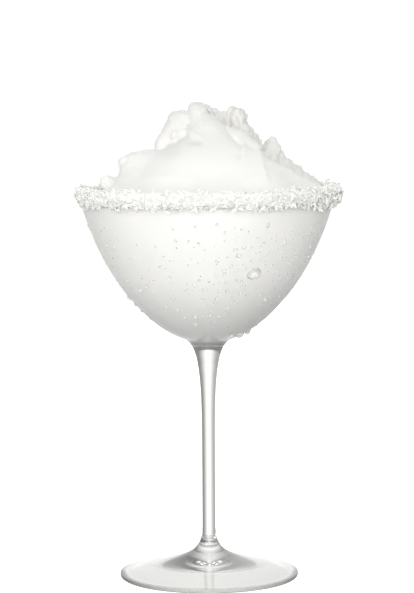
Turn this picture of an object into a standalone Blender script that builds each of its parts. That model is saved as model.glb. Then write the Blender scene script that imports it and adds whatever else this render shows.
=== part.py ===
"""Frozen coconut colada heaped in a stemmed cocktail glass whose rim is crusted with coconut.

Three pieces: the blown glass, the frozen slush that fills it and stands above the brim, and
the ring of desiccated coconut stuck round the lip. Metres, +Z up. The origin is the centre of
the foot, on the surface that the glass stands on, and the heap's steep knob leans towards -X.
"""
import math
import random

import bmesh
import bpy
import numpy as np
from mathutils import Vector, noise
from mathutils.geometry import interpolate_bezier

# Glass: one turned outline, stem and bowl from the foot up.
GLASS_HEIGHT = 0.1785
RIM_RADIUS = 0.0590
WALL = 0.0011
BOWL_FOOT_RADIUS = 0.0122
BOWL_FOOT_HEIGHT = 0.1106
BOWL_FOOT_SLOPE = math.radians(18.6)
STEM_RADIUS = 0.00303
STEM_BOTTOM = 0.0239
STEM_TOP = 0.0633
FOOT_RADIUS = 0.0413
FOOT_EDGE = 0.0019
FOOT_SLOPE_RUN = 0.0314
FOOT_SLOPE_RISE = 0.0080
CONTACT_INNER = 0.0382
CONTACT_OUTER = 0.0402
UNDERSIDE_RISE = 0.0058
UNDERSIDE_CROWN = 0.0110
UNDERSIDE_SHOULDER = (0.0200, 0.0056)
INNER_BOTTOM = 0.1103
GLASS_SEGMENTS = 48

# Gap kept between pieces that touch.
GAP = 0.0003

# Slush: it meets the wall a little under the lip, and the heap rises from there.
SLUSH_SEGMENTS = 64
SLUSH_WALL_RINGS = 7
HEAP_RINGS = 28
WALL_CONTACT = GLASS_HEIGHT - 0.0017
HEAP_CENTRE = Vector((0.0, 0.0, GLASS_HEIGHT - 0.022))
LIP_CLEARANCE = 0.0019
ROUGHNESS_DEPTH = 0.0007
ROUGHNESS_SCALE = 0.011
SETTLE_PASSES = 2

# Coconut: a thin crust that hooks over the lip, with shreds stuck to it at all angles.
CRUST_DROP = 0.0066
CRUST_THICKNESS = 0.0011
CRUST_SEGMENTS = 48
SHREDS = 128
SHRED_LENGTH = (0.0036, 0.0062)
SHRED_WIDTH = (0.0010, 0.0014)
SHRED_THICKNESS = 0.0006
SEED = 11

# The heap is made of limbs, each swept from one ball to another: (x, y, height above the lip)
# and radius of the first ball, then of the second.
# The front body is one smooth fold that runs from the knob down to the lip.
FRONT_LIMBS = (
    ((0.003, -0.008, -0.0260), 0.0480, (-0.001, -0.004, -0.0260), 0.0480),
    ((-0.003, -0.003, 0.0290), 0.0050, (0.000, -0.007, 0.0020), 0.0215),
    ((0.0005, -0.003, 0.0285), 0.0050, (0.0110, -0.004, 0.0180), 0.0080),
    ((-0.0310, -0.002, 0.0086), 0.0090, (0.000, -0.008, -0.0030), 0.0230),
    ((0.036, -0.004, 0.0000), 0.0085, (0.046, 0.000, -0.0030), 0.0065),
    ((0.000, -0.042, -0.0120), 0.0140, (0.020, -0.036, -0.0120), 0.0140),
)
# The knob, the slab on its left, the right shoulder's ledge and the lumps down the left edge.
SIDE_LIMBS = (
    ((-0.0040, -0.004, 0.0354), 0.0046, (-0.0036, -0.004, 0.0310), 0.0052),
    ((-0.0141, -0.004, 0.0332), 0.0028, (-0.0110, -0.004, 0.0334), 0.0028),
    ((-0.0137, -0.004, 0.0305), 0.0040, (-0.0192, -0.0045, 0.0215), 0.0054),
    ((-0.0225, -0.004, 0.0155), 0.0040, (-0.0305, -0.003, 0.0115), 0.0055),
    ((0.0130, -0.006, 0.0200), 0.0078, (0.0190, -0.008, 0.0120), 0.0090),
    ((-0.0365, -0.003, 0.0128), 0.0036, (-0.0300, -0.003, 0.0115), 0.0058),
    ((-0.0454, -0.004, 0.0038), 0.0034, (-0.0440, -0.004, -0.0020), 0.0050),
)
# The rougher mass that shows behind the fold, in steps down to the right.
BACK_LIMBS = (
    ((0.0133, 0.009, 0.0323), 0.0052, (0.014, 0.012, 0.0050), 0.0190),
    ((0.0040, 0.008, 0.0310), 0.0050, (0.002, 0.010, 0.0100), 0.0140),
    ((0.0303, 0.011, 0.0193), 0.0038, (0.028, 0.012, 0.0000), 0.0120),
    ((0.0365, 0.011, 0.0115), 0.0034, (0.036, 0.010, 0.0000), 0.0090),
    ((0.0413, 0.010, 0.0080), 0.0032, (0.041, 0.009, -0.0020), 0.0080),
    ((0.0450, 0.009, 0.0050), 0.0030, (0.045, 0.008, -0.0030), 0.0070),
    ((0.0483, 0.008, 0.0029), 0.0028, (0.048, 0.007, -0.0040), 0.0060),
    ((-0.014, 0.014, 0.0160), 0.0070, (-0.012, 0.024, -0.0060), 0.0200),
    ((0.008, 0.024, 0.0120), 0.0080, (0.014, 0.030, -0.0060), 0.0170),
    ((-0.008, 0.034, 0.0050), 0.0070, (-0.012, 0.038, -0.0060), 0.0110),
    ((0.030, 0.030, 0.0020), 0.0060, (0.024, 0.030, -0.0080), 0.0120),
    ((-0.034, 0.022, 0.0010), 0.0060, (-0.026, 0.022, -0.0080), 0.0130),
)
BLEND_WITHIN = 0.0080
BLEND_SIDE = 0.0018
BLEND_ROUGH = 0.0030
BLEND_BACK = 0.0014


def make_material(name, colour, roughness, **inputs):
    """A Principled BSDF with the piece's colour and roughness."""
    material = bpy.data.materials.new(name)
    material.use_nodes = True
    shader = material.node_tree.nodes["Principled BSDF"]
    shader.inputs["Base Color"].default_value = (*colour, 1.0)
    shader.inputs["Roughness"].default_value = roughness
    shader.inputs["Metallic"].default_value = 0.0
    for socket, value in inputs.items():
        shader.inputs[socket.replace("_", " ")].default_value = value
    return material


def make_object(name, points, faces, material):
    """A mesh object whose faces are smooth, apart from edges over 40 degrees."""
    mesh = bpy.data.meshes.new(name)
    mesh.from_pydata([tuple(point) for point in points], [], faces)
    mesh.validate()
    mesh.materials.append(material)
    mesh.shade_smooth()
    mesh.set_sharp_from_angle(angle=math.radians(40))
    piece = bpy.data.objects.new(name, mesh)
    bpy.context.scene.collection.objects.link(piece)
    return piece


def bezier(start, handle_a, handle_b, end, steps):
    """Points (radius, height) along a cubic curve, both ends included."""
    knots = [Vector((*knot, 0.0)) for knot in (start, handle_a, handle_b, end)]
    return [(point.x, point.y) for point in interpolate_bezier(*knots, steps + 1)]


def bowl_inside(steps):
    """The bowl's inner wall, from its lowest point on the axis up to the lip."""
    return bezier(
        (0.0, INNER_BOTTOM),
        (0.3335 * RIM_RADIUS, INNER_BOTTOM),
        (RIM_RADIUS - 0.01264, GLASS_HEIGHT - 0.04666),
        (RIM_RADIUS - WALL, GLASS_HEIGHT - WALL / 2),
        steps,
    )


def bowl_outside(steps):
    """The bowl's outer wall, from where it leaves the neck up to the lip."""
    slope = Vector((math.cos(BOWL_FOOT_SLOPE), math.sin(BOWL_FOOT_SLOPE)))
    start = Vector((BOWL_FOOT_RADIUS, BOWL_FOOT_HEIGHT))
    return bezier(
        start,
        start + 0.0116 * slope,
        (RIM_RADIUS - 0.01085, GLASS_HEIGHT - 0.0448),
        (RIM_RADIUS, GLASS_HEIGHT - WALL / 2),
        steps,
    )


def glass_outline():
    """The whole closed section: underside, foot, stem, outer wall, lip and inner wall."""
    slope = Vector((math.cos(BOWL_FOOT_SLOPE), math.sin(BOWL_FOOT_SLOPE)))
    bowl_foot = Vector((BOWL_FOOT_RADIUS, BOWL_FOOT_HEIGHT))
    underside = bezier(
        (0.0, UNDERSIDE_RISE),
        (UNDERSIDE_CROWN, UNDERSIDE_RISE),
        UNDERSIDE_SHOULDER,
        (CONTACT_INNER, 0.0),
        7,
    )
    edge = [
        (CONTACT_OUTER, 0.0),
        (FOOT_RADIUS - 0.0003, 0.0004),
        (FOOT_RADIUS, 0.0010),
    ]
    foot = bezier(
        (FOOT_RADIUS - 0.0002, FOOT_EDGE),
        (FOOT_RADIUS - FOOT_SLOPE_RUN, FOOT_EDGE + FOOT_SLOPE_RISE),
        (STEM_RADIUS, STEM_BOTTOM - 0.0146),
        (STEM_RADIUS, STEM_BOTTOM),
        8,
    )
    neck = bezier(
        (STEM_RADIUS, STEM_TOP),
        (STEM_RADIUS, STEM_TOP + 0.0385),
        bowl_foot - 0.00698 * slope,
        bowl_foot,
        8,
    )
    lip_centre = Vector((RIM_RADIUS - WALL / 2, GLASS_HEIGHT - WALL / 2))
    lip = [
        lip_centre + WALL / 2 * Vector((math.cos(turn), math.sin(turn)))
        for turn in (math.pi / 4, math.pi / 2, 3 * math.pi / 4)
    ]
    inside = bowl_inside(8)[::-1]
    return underside + edge + foot + neck + bowl_outside(8)[1:] + lip + inside


def revolve(outline, segments, closed):
    """Points and faces of an outline turned about Z.

    An open outline starts and ends on the axis; a closed one is a ring's section.
    """
    points = []
    rings = []
    for radius, height in outline:
        if radius < 1e-9:
            rings.append([len(points)] * segments)
            points.append((0.0, 0.0, height))
            continue
        rings.append([len(points) + step for step in range(segments)])
        for step in range(segments):
            turn = 2 * math.pi * step / segments
            points.append((radius * math.cos(turn), radius * math.sin(turn), height))
    return points, skin(rings, segments, closed)


def skin(rings, segments, closed):
    """Faces between neighbouring rings of point numbers; a pole's faces are triangles."""
    faces = []
    pairs = list(zip(rings, rings[1:]))
    if closed:
        pairs.append((rings[-1], rings[0]))
    for lower, upper in pairs:
        for step in range(segments):
            after = (step + 1) % segments
            corners = (lower[step], lower[after], upper[after], upper[step])
            faces.append(tuple(dict.fromkeys(corners)))
    return faces


def make_glass():
    """The glass, in one piece from the hollow under the foot to the lip."""
    material = make_material(
        "clear_glass", (0.96, 0.97, 0.96), 0.03, Transmission_Weight=1.0, IOR=1.5
    )
    points, faces = revolve(glass_outline(), GLASS_SEGMENTS, closed=False)
    return make_object("glass", points, faces, material)


def radius_at(outline, height):
    """An outline's radius at a height, between its points."""
    radii, heights = zip(*outline)
    return float(np.interp(height, heights, radii))


def limb_distance(points, limb):
    """Signed distance, nearly, from points to one limb above the lip."""
    start, start_radius, end, end_radius = limb
    start = np.array(start) + (0.0, 0.0, GLASS_HEIGHT)
    run = np.array(end) + (0.0, 0.0, GLASS_HEIGHT) - start
    offset = points - start
    along = np.clip(offset @ run / (run @ run), 0.0, 1.0)
    reach = np.linalg.norm(offset - along[:, None] * run, axis=1)
    return reach - start_radius - along * (end_radius - start_radius)


def blend(first, second, width):
    """Smooth union of two distances; a small width leaves a crease between them."""
    near = np.maximum(width - np.abs(first - second), 0.0) / width
    return np.minimum(first, second) - near * near * width / 4


def add_limbs(start, points, limbs, width):
    """The distance so far, with a group of limbs melted into it over a width."""
    distance = start
    for limb in limbs:
        distance = blend(distance, limb_distance(points, limb), width)
    return distance


def heap_distance(points):
    """Distance to the whole slush above the wall contact, kept clear of the lip."""
    level = points[:, 2] - WALL_CONTACT
    front = add_limbs(level, points, FRONT_LIMBS, BLEND_WITHIN)
    front = add_limbs(front, points, SIDE_LIMBS, BLEND_SIDE)
    back = add_limbs(level, points, BACK_LIMBS, BLEND_ROUGH)
    heap = blend(front, back, BLEND_BACK)
    across = np.hypot(points[:, 0], points[:, 1]) - (RIM_RADIUS - WALL - 0.0003)
    lip_gap = LIP_CLEARANCE - np.hypot(across, points[:, 2] - GLASS_HEIGHT - 0.0001)
    return np.maximum(np.maximum(heap, lip_gap), across)


def cast_heap(directions):
    """The outermost heap point along each direction from the heap's centre."""
    centre = np.array(HEAP_CENTRE)
    reach = np.full(len(directions), 0.075)
    for _ in range(90):
        distance = heap_distance(centre + directions * reach[:, None])
        reach -= 0.7 * distance
        reach = np.clip(reach, 0.001, 0.075)
    return centre + directions * reach[:, None]


def roughen(points, depth, scale):
    """Push points along the line from the heap's centre by a smooth seeded noise."""
    rough = []
    for point in points:
        place = Vector(point)
        outward = (place - HEAP_CENTRE).normalized()
        swell = noise.noise(place / scale) + 0.5 * noise.noise(place / (scale / 2.3))
        rough.append(place + depth * swell * outward)
    return rough


def settle(heap, contact, passes):
    """Ease every heap point towards its neighbours' mean, which melts away thin spikes."""
    grid = np.array(heap[:-1]).reshape(-1, SLUSH_SEGMENTS, 3)
    foot = np.array(contact)[None]
    top = np.tile(np.array(heap[-1]), (1, SLUSH_SEGMENTS, 1))
    for _ in range(passes):
        stack = np.concatenate((foot, grid, top))
        beside = np.roll(grid, 1, axis=1) + np.roll(grid, -1, axis=1)
        grid = 0.6 * grid + 0.1 * (beside + stack[:-2] + stack[2:])
    return [Vector(point) for point in grid.reshape(-1, 3)] + [heap[-1]]


def make_slush():
    """The frozen drink: it fills the bowl and is heaped above it in soft folds and lumps."""
    wall = [
        (max(radius - GAP, 0.0), height + GAP)
        for radius, height in bowl_inside(SLUSH_WALL_RINGS)
        if height < WALL_CONTACT - 0.004
    ]
    wall.append((radius_at(bowl_inside(40), WALL_CONTACT) - GAP, WALL_CONTACT))
    points, _ = revolve(wall, SLUSH_SEGMENTS, closed=False)

    contact_radius, contact_height = wall[-1]
    lowest = math.atan2(contact_height - HEAP_CENTRE.z, contact_radius)
    directions = []
    for ring in range(1, HEAP_RINGS):
        part = (ring / HEAP_RINGS) ** 1.12
        rise = lowest + (math.pi / 2 - lowest) * part
        for step in range(SLUSH_SEGMENTS):
            turn = 2 * math.pi * step / SLUSH_SEGMENTS
            flat = math.cos(rise)
            directions.append((flat * math.cos(turn), flat * math.sin(turn), math.sin(rise)))
    directions.append((0.0, 0.0, 1.0))
    heap = roughen(cast_heap(np.array(directions)), ROUGHNESS_DEPTH, ROUGHNESS_SCALE)
    heap = settle(heap, points[-SLUSH_SEGMENTS:], SETTLE_PASSES)

    rings = [[0] * SLUSH_SEGMENTS]
    ring_starts = range(1, len(points) + len(heap) - 1, SLUSH_SEGMENTS)
    rings += [[start + step for step in range(SLUSH_SEGMENTS)] for start in ring_starts]
    points += [tuple(point) for point in heap]
    rings.append([len(points) - 1] * SLUSH_SEGMENTS)
    faces = skin(rings, SLUSH_SEGMENTS, closed=False)
    material = make_material("frozen_colada", (0.93, 0.93, 0.91), 0.45)
    return make_object("frozen_colada", points, faces, material)


def crust_outline():
    """The crust's section: a hook that lies over the lip, a gap clear of the glass."""
    outside = bowl_outside(24)
    lip = GLASS_HEIGHT
    bottom = lip - CRUST_DROP
    outer = [
        (radius_at(outside, lip - drop) + GAP + thickness, lip - drop)
        for drop, thickness in (
            (CRUST_DROP, 0.4 * CRUST_THICKNESS),
            (0.65 * CRUST_DROP, CRUST_THICKNESS),
            (0.30 * CRUST_DROP, 1.1 * CRUST_THICKNESS),
        )
    ]
    over = [
        (RIM_RADIUS + 0.7 * CRUST_THICKNESS, lip + 0.0008),
        (RIM_RADIUS - 0.5 * WALL, lip + 1.3 * CRUST_THICKNESS),
        (RIM_RADIUS - WALL - 0.8 * CRUST_THICKNESS, lip + 0.0009),
        (RIM_RADIUS - WALL - 1.1 * CRUST_THICKNESS, lip - 0.0003),
        (RIM_RADIUS - WALL - 1.2 * GAP, lip - 0.0007),
    ]
    inner = [
        (RIM_RADIUS - WALL - 1.1 * GAP, lip + 0.0001),
        (RIM_RADIUS - 0.5 * WALL, lip + 1.2 * GAP),
        (RIM_RADIUS + 1.1 * GAP, lip + 0.0001),
        (radius_at(outside, lip - 0.45 * CRUST_DROP) + GAP, lip - 0.45 * CRUST_DROP),
        (radius_at(outside, bottom) + GAP, bottom),
    ]
    return outer + over + inner


def clear_of_glass(corner, outside):
    """True where a shred's corner lies outside the bowl or over the lip, not in the slush."""
    radius = math.hypot(corner.x, corner.y)
    if corner.z < GLASS_HEIGHT:
        return radius > radius_at(outside, corner.z) + GAP
    over_lip = Vector((radius - RIM_RADIUS + WALL / 2, corner.z - GLASS_HEIGHT))
    return over_lip.length > WALL / 2 + GAP and over_lip.x > -1.5 * WALL


def shred_corners(centre, along, across, length, width, bend):
    """The twelve corners of a flat strip that is bent once in the middle."""
    normal = along.cross(across).normalized()
    corners = []
    for station, lift in ((-0.5, 0.0), (0.0, bend), (0.5, 0.0)):
        middle = centre + station * length * along + lift * normal
        taper = 1.0 if lift else 0.62
        for side, face in ((-1, -1), (1, -1), (1, 1), (-1, 1)):
            spread = side * taper * width / 2 * across
            corners.append(middle + spread + face * SHRED_THICKNESS / 2 * normal)
    return corners


def shred_faces():
    """Faces of the bent strip, wound so that they point out."""
    faces = [(0, 1, 2, 3), (8, 11, 10, 9)]
    for start in (0, 4):
        for side in range(4):
            after = (side + 1) % 4
            corners = (start + side, start + 4 + side, start + 4 + after, start + after)
            faces.append(corners)
    return faces


def place_shred(turn, drop, draw, outside):
    """Corners of one shred stuck to the crust at a turn and a drop below the lip's top."""
    around = Vector((-math.sin(turn), math.cos(turn), 0.0))
    radial = Vector((math.cos(turn), math.sin(turn), 0.0))
    if drop > 0.0:
        height = GLASS_HEIGHT - drop
        foot = radial * (radius_at(outside, height) + GAP + 0.8 * CRUST_THICKNESS)
        normal = (radial - 0.2 * Vector((0, 0, 1))).normalized()
    else:
        height = GLASS_HEIGHT + 1.1 * CRUST_THICKNESS
        foot = radial * (RIM_RADIUS - 0.3 * WALL)
        normal = (0.5 * radial + Vector((0, 0, 1))).normalized()
    foot.z = height
    up = normal.cross(around)
    spin = draw.uniform(0, math.pi)
    tilt = draw.uniform(0.1, 0.8)
    flat = math.cos(spin) * around + math.sin(spin) * up
    along = (math.cos(tilt) * flat + math.sin(tilt) * normal).normalized()
    across = along.cross(normal).normalized()
    length = draw.uniform(*SHRED_LENGTH)
    width = draw.uniform(*SHRED_WIDTH)
    centre = foot + 0.38 * length * math.sin(tilt) * normal
    return shred_corners(centre, along, across, length, width, draw.uniform(-0.0005, 0.0005))


def make_shreds(material):
    """The shreds as separate closed strips, in a collection for one union."""
    outside = bowl_outside(24)
    draw = random.Random(SEED)
    collection = bpy.data.collections.new("shreds")
    bpy.context.scene.collection.children.link(collection)
    count = 0
    while count < SHREDS:
        turn = 2 * math.pi * (count + draw.uniform(-0.35, 0.35)) / SHREDS
        drop = draw.choice((0.0, 0.22, 0.5, 0.82)) * CRUST_DROP
        corners = place_shred(turn, drop, draw, outside)
        if not all(clear_of_glass(corner, outside) for corner in corners):
            continue
        shred = make_object(f"shred_{count}", corners, shred_faces(), material)
        bpy.context.scene.collection.objects.unlink(shred)
        collection.objects.link(shred)
        count += 1
    return collection


def keep_outer_shell(mesh):
    """Drop sealed inner walls and loose scraps, so that one closed body is left."""
    shell = bmesh.new()
    shell.from_mesh(mesh)
    unseen = set(shell.verts)
    islands = []
    while unseen:
        island = {unseen.pop()}
        edge_of_search = list(island)
        while edge_of_search:
            vert = edge_of_search.pop()
            for edge in vert.link_edges:
                other = edge.other_vert(vert)
                if other in unseen:
                    unseen.remove(other)
                    island.add(other)
                    edge_of_search.append(other)
        islands.append(island)
    largest = max(islands, key=len)
    scraps = [vert for vert in shell.verts if vert not in largest]
    bmesh.ops.delete(shell, geom=scraps, context="VERTS")
    shell.to_mesh(mesh)
    shell.free()


def make_coconut():
    """The crust with its shreds fused on by one union."""
    material = make_material("coconut", (0.95, 0.94, 0.91), 0.6)
    points, faces = revolve(crust_outline(), CRUST_SEGMENTS, closed=True)
    crust = make_object("coconut_rim", points, faces, material)
    shreds = make_shreds(material)
    union = crust.modifiers.new("fuse_shreds", "BOOLEAN")
    union.operation = "UNION"
    union.operand_type = "COLLECTION"
    union.solver = "EXACT"
    union.collection = shreds
    with bpy.context.temp_override(object=crust, active_object=crust):
        bpy.ops.object.modifier_apply(modifier=union.name)
    for shred in list(shreds.objects):
        bpy.data.objects.remove(shred)
    bpy.data.collections.remove(shreds)
    keep_outer_shell(crust.data)
    return crust


def clear_scene():
    """Remove whatever the scene starts with."""
    for item in list(bpy.data.objects):
        bpy.data.objects.remove(item)


clear_scene()
make_glass()
make_slush()
make_coconut()
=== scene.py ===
"""Looks of a frozen coconut colada heaped in a stemmed glass with a coconut rim.

The glass, the slush and the coconut rim each replace their solid with a fine mesh of the same
form, worked out from the same named sizes. Condensation is added on the bowl. All sizes are in
metres, apart from the large drops' millimetres.
"""
import math
import random

import bpy
import numpy as np
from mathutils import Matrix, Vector, noise
from mathutils.geometry import interpolate_bezier


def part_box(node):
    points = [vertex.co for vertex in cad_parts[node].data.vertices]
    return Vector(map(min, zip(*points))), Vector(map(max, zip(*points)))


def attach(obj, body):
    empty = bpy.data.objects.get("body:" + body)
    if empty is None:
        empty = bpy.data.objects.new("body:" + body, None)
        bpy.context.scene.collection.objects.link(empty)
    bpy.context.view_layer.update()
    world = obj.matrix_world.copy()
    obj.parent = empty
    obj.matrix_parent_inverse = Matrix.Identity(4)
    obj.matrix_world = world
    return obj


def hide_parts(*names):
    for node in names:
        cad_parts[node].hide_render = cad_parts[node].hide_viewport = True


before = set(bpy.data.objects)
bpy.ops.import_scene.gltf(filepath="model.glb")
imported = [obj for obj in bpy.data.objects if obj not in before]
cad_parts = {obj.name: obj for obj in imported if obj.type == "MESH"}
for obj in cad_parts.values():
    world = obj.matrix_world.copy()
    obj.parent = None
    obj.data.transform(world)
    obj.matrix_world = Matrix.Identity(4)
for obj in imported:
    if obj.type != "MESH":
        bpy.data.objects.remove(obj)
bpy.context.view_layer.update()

# Glass, from the frame and the outline's own sizes.
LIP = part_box("glass")[1][2]
RIM_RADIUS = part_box("glass")[1][0]
WALL = 0.0011
BOWL_FOOT_RADIUS = 0.0122
BOWL_FOOT_HEIGHT = 0.1106
BOWL_FOOT_SLOPE = math.radians(18.6)
STEM_RADIUS = 0.00303
STEM_BOTTOM = 0.0239
STEM_TOP = 0.0633
FOOT_RADIUS = 0.0413
FOOT_EDGE = 0.0019
FOOT_SLOPE_RUN = 0.0314
FOOT_SLOPE_RISE = 0.0080
CONTACT_INNER = 0.0382
CONTACT_OUTER = 0.0402
UNDERSIDE_RISE = 0.0058
UNDERSIDE_CROWN = 0.0110
UNDERSIDE_SHOULDER = (0.0200, 0.0056)
INNER_BOTTOM = 0.1103
GLASS_SEGMENTS = 192

# Handles of the glass's curves: the foot's edge and where it meets the foot's top, how far the
# stem's straightness reaches down and up, how far the bowl's foot runs on along its slope below
# and above, and the walls' handles at the bottom and (inwards, down) from the lip.
FOOT_EDGE_BULGE = (FOOT_RADIUS + 0.0001, 0.0012)
FOOT_EDGE_TOP = (FOOT_RADIUS - 0.0002, FOOT_EDGE)
STEM_REACH_DOWN = 0.0146
STEM_REACH_UP = 0.0385
NECK_REACH = 0.00698
BOWL_REACH = 0.0116
BOTTOM_REACH = 0.3335 * RIM_RADIUS
INSIDE_HANDLE = (0.01264, 0.04666)
OUTSIDE_HANDLE = (0.01085, 0.0448)

# Points along the outer wall where it is looked up, and the step for its slope.
WALL_STEPS = 60
SLOPE_STEP = 0.0005

# Slush: it reaches just into the wall, apart from near the axis, so that no air shows between
# it and the glass. The wall's rings end a little below the contact's own ring.
SLUSH_SEGMENTS = 360
HEAP_RINGS = 250
WALL_CONTACT = LIP - 0.0012
CONTACT_RING_GAP = 0.001
INTO_WALL = 0.00015
INTO_BOTTOM = 0.0001
NEAR_AXIS = 0.002
HEAP_CENTRE = Vector((0.0, 0.0, LIP - 0.022))

# Marching to the heap from outside: where it starts and the nearest to the centre that it may
# come, the share of the distance taken at each step, the most steps, and how near is enough.
MARCH_FROM = 0.075
MARCH_NEAREST = 0.001
MARCH_SHARE = 0.7
MARCH_STEPS = 110
MARCH_ERROR = 1e-6
# Neighbours on each side over which the rings' spacing is evened out.
EVEN_OVER = 6
# The lead of the back mass over the front, from none of it showing to all.
BEHIND_LEAD = (-0.0005, 0.0008)
EASE_ROUNDS = 4
EASE_SHARE = 0.6

# Condensation: large drops (degrees to the right of the front, then height, width and tallness
# in millimetres), how many drops there are in all, and how far they sink into the wall.
LARGE_DROPS = (
    (27, 143.1, 6.8, 6.8), (16, 151.5, 2.6, 2.4), (14, 154.3, 2.1, 2.0), (18, 155.1, 2.2, 1.8),
    (41, 156.6, 2.3, 3.4), (66, 153.6, 1.9, 3.2), (70, 148.8, 1.6, 1.6), (5, 149.0, 2.0, 1.6),
    (13, 146.6, 2.0, 2.0), (16, 144.7, 1.8, 1.8), (21, 145.1, 1.6, 1.6), (11, 139.3, 2.2, 1.8),
    (-5, 140.3, 1.6, 1.6), (-4, 136.2, 1.8, 1.8), (17, 136.4, 1.8, 1.8), (22, 134.0, 2.0, 1.6),
    (37, 146.4, 2.0, 2.0), (-49, 134.7, 3.0, 2.2), (-41, 136.9, 2.2, 1.8), (-55, 154.2, 1.8, 2.2),
    (-62, 154.3, 1.6, 2.0), (-34, 127.1, 2.2, 1.6), (-24, 126.0, 2.2, 1.6), (-21, 122.6, 2.4, 1.6),
    (-11, 122.7, 2.2, 2.0), (2, 123.7, 2.0, 1.6), (-12, 119.2, 2.2, 1.8), (16, 124.5, 1.6, 1.6),
    (29, 164.6, 2.0, 2.4), (29, 170.8, 1.6, 2.2), (28, 149.9, 1.6, 1.6), (22, 155.0, 1.4, 1.4),
    (40, 112.6, 5.0, 3.4), (58, 112.9, 6.4, 4.4), (78, 113.8, 5.4, 3.6), (-84, 129.6, 3.0, 3.6),
    (-83, 126.4, 2.4, 2.4), (-87, 123.2, 2.2, 2.0),
)
DROPS = 300
DROP_SUNK = 0.00012
# How far a drop swells out, as a share of its size, by its size.
DROP_SIZES = (0.0008, 0.0022, 0.0040, 0.0060)
DROP_SWELLS = (0.1596, 0.285, 0.342, 0.228)
# A drop's lower half is fuller: by how much its outline and its swell shift down.
DROP_SAG = 0.18
DROP_HANG = 0.25
# Fine drops: least size, mean size above it and most size, and where they stand on the bowl.
FINE_DROP = (0.0008, 0.0004, 0.0022)
FINE_DROP_SHAPE = (0.75, 1.15)
FINE_DROP_HEIGHTS = (BOWL_FOOT_HEIGHT + 0.003, LIP - 0.010, 0.142)
# A fine drop keeps clear of its neighbours, whose widths become angles on a bowl this wide.
BOWL_ACROSS = 0.1
# They crowd round a turn to the right of the front, over a spread; elsewhere a share of them.
CROWD_TURN = 0.35
CROWD_SPREAD = 0.6
CROWD_ELSEWHERE = 0.2
# A drop over this size has a finer mesh: (segments, layers) of the large and of the fine.
LARGE_DROP = 0.0025
LARGE_DROP_MESH = (24, 8)
FINE_DROP_MESH = (12, 4)

# Coconut bed: how far it comes down from the lip, where its outside ends below the lip, its
# thickness, the run over which it thins out at the lower edge and how far above CRUST_DROP it
# ends, how ragged that edge is and over what size, its bumps (share, size), and how much of its
# thickness is left at the inner end.
CRUST_DROP = 0.0062
CRUST_TOP = 0.0006
BED_THICKNESS = 0.0009
BED_SEGMENTS = 420
BED_FRINGE = 0.0018
BED_MARGIN = 0.0008
BED_RAGGED = 0.0007
BED_RAGGED_SIZE = 0.0022
BED_BUMPS = ((0.60, 0.0016), (0.40, 0.0008))
BED_INNER_END = 0.2
BED_CLEARANCE = 0.00005

# Shreds: (least, most, commonest) length, then ranges, spreads and the share that the middle of
# a shred is wider, thicker and skewed by. They sit on the bed where it is thick, and lower where
# it thins out. A few stray ones stand up at an angle, raised by a share of their length. At the
# far right the shreds are longer, wider and looser, by the values named so.
SHREDS = 2300
SHRED_STATIONS = (-0.5, -0.25, 0.0, 0.25, 0.5)
SHRED_LENGTH = (0.0011, 0.0040, 0.0020)
SHRED_WIDTH = (0.0009, 0.0014)
SHRED_THICKNESS = (0.0003, 0.0005)
SHRED_LIFT = (-0.0004, 0.0004)
SHRED_SLIDE = 0.0006
SHRED_TILT = 0.15
SHRED_ROLL = 0.5
SHRED_BEND = 0.16
SHRED_SKEW = 0.25
SHRED_WIDENING = 0.38
SHRED_THICKENING = 0.3
SHRED_WIDTH_SPREAD = (0.85, 1.1)
SEAT_RUN = 0.0022
SEAT_MARGIN = 0.0004
STRAY_SHARE = 0.16
STRAY_TILT = 0.7
STRAY_RAISE = 0.3
RIGHT_LONGER = 0.0018
RIGHT_WIDER = 0.0002
RIGHT_LIFTED = 0.0016
RIGHT_STRAYS = 0.10
SEED = 11

# The heap's limbs, each swept from one ball to another: (x, y, height above the lip) and
# radius of the first ball, then of the second.
FRONT_LIMBS = (
    ((0.003, -0.008, -0.0260), 0.0480, (-0.001, -0.004, -0.0260), 0.0480),
    ((-0.003, -0.003, 0.0290), 0.0050, (0.000, -0.007, 0.0020), 0.0215),
    ((0.0005, -0.003, 0.0285), 0.0050, (0.0110, -0.004, 0.0180), 0.0080),
    ((-0.0310, -0.002, 0.0086), 0.0080, (0.000, -0.008, -0.0030), 0.0230),
    ((0.036, -0.004, 0.0000), 0.0085, (0.046, 0.000, -0.0030), 0.0065),
    ((0.000, -0.042, -0.0120), 0.0140, (0.020, -0.036, -0.0120), 0.0140),
)
# The straight slopes from the knob and the left shoulder down to the front.
SLOPE_LIMBS = (
    ((-0.002, -0.0075, 0.0250), 0.0040, (-0.0110, -0.0230, -0.0034), 0.0190),
    ((0.001, -0.0075, 0.0240), 0.0040, (0.0140, -0.0240, -0.0060), 0.0200),
    ((-0.0290, -0.0050, 0.0090), 0.0060, (-0.0330, -0.0180, -0.0100), 0.0130),
)
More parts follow.
